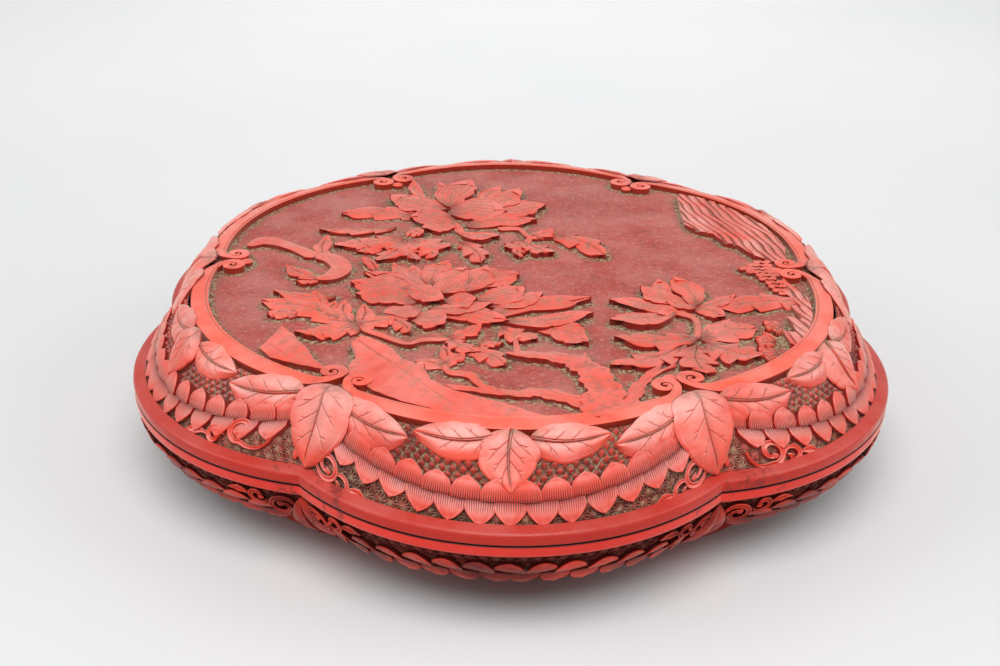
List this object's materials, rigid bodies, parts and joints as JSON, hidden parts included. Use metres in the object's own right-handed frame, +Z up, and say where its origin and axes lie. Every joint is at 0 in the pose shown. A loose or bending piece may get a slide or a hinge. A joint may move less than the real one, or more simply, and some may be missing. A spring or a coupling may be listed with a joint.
{
  "type": "lobed covered box",
  "caption": "Low six-lobed covered box of carved red lacquer on a plain foot ring, with a lift-off domed lid and a carved pictorial panel on top.",
  "frame": {"origin": "centre of the foot ring's underside, on the surface that the box stands on", "axes": "+Z up; +Y from the lobe at the front to the lobe at the back, the plan's longer direction; +X to the right, from cusp to cusp"},
  "size_m": [0.2838, 0.3, 0.0644],
  "materials": {
    "wood_core": "sealed",
    "lacquer_plain": "satin, worn to dark along the edges",
    "lacquer_carved": "satin",
    "lacquer_ground": "cut diaper ground, dusty in the recesses",
    "lacquer_black": "satin"
  },
  "bodies": {
    "box": {"base_floor": "wood_core", "base_wall": "wood_core", "base_coat": "lacquer_ground", "base_rim_band": "lacquer_plain", "base_petals_upper": "lacquer_carved", "base_petals_lower": "lacquer_carved", "base_cusp_leaves": "lacquer_carved", "base_rim_scrolls": "lacquer_carved", "base_lining": "lacquer_black", "mouth_collar": "lacquer_black", "foot_ring": "lacquer_plain", "base_underside": "lacquer_black"},
    "lid": {"lid_board": "wood_core", "lid_wall": "wood_core", "lid_coat": "lacquer_ground", "lid_rim_band": "lacquer_plain", "lid_lining": "lacquer_black", "lid_panel_ground": "lacquer_ground", "lid_panel_frame": "lacquer_plain", "lid_leaf_sprays": "lacquer_carved", "lid_cusp_leaves": "lacquer_carved", "lid_flank_leaves": "lacquer_carved", "lid_petals_upper": "lacquer_carved", "lid_petals_lower": "lacquer_carved", "lid_rim_scrolls": "lacquer_carved", "panel_back_peony": "lacquer_carved", "panel_centre_peony": "lacquer_carved", "panel_right_peony": "lacquer_carved", "panel_ribbon_leaf": "lacquer_carved", "panel_trunk": "lacquer_carved", "panel_rock_left": "lacquer_carved", "panel_rock_front": "lacquer_carved", "panel_cliff": "lacquer_carved", "panel_wave": "lacquer_carved"}
  },
  "joints": [
    {"name": "lid_lift", "type": "slide", "parent": "box", "child": "lid", "axis": [0, 0, 1], "range_m": [0, 0.08]}
  ]
}
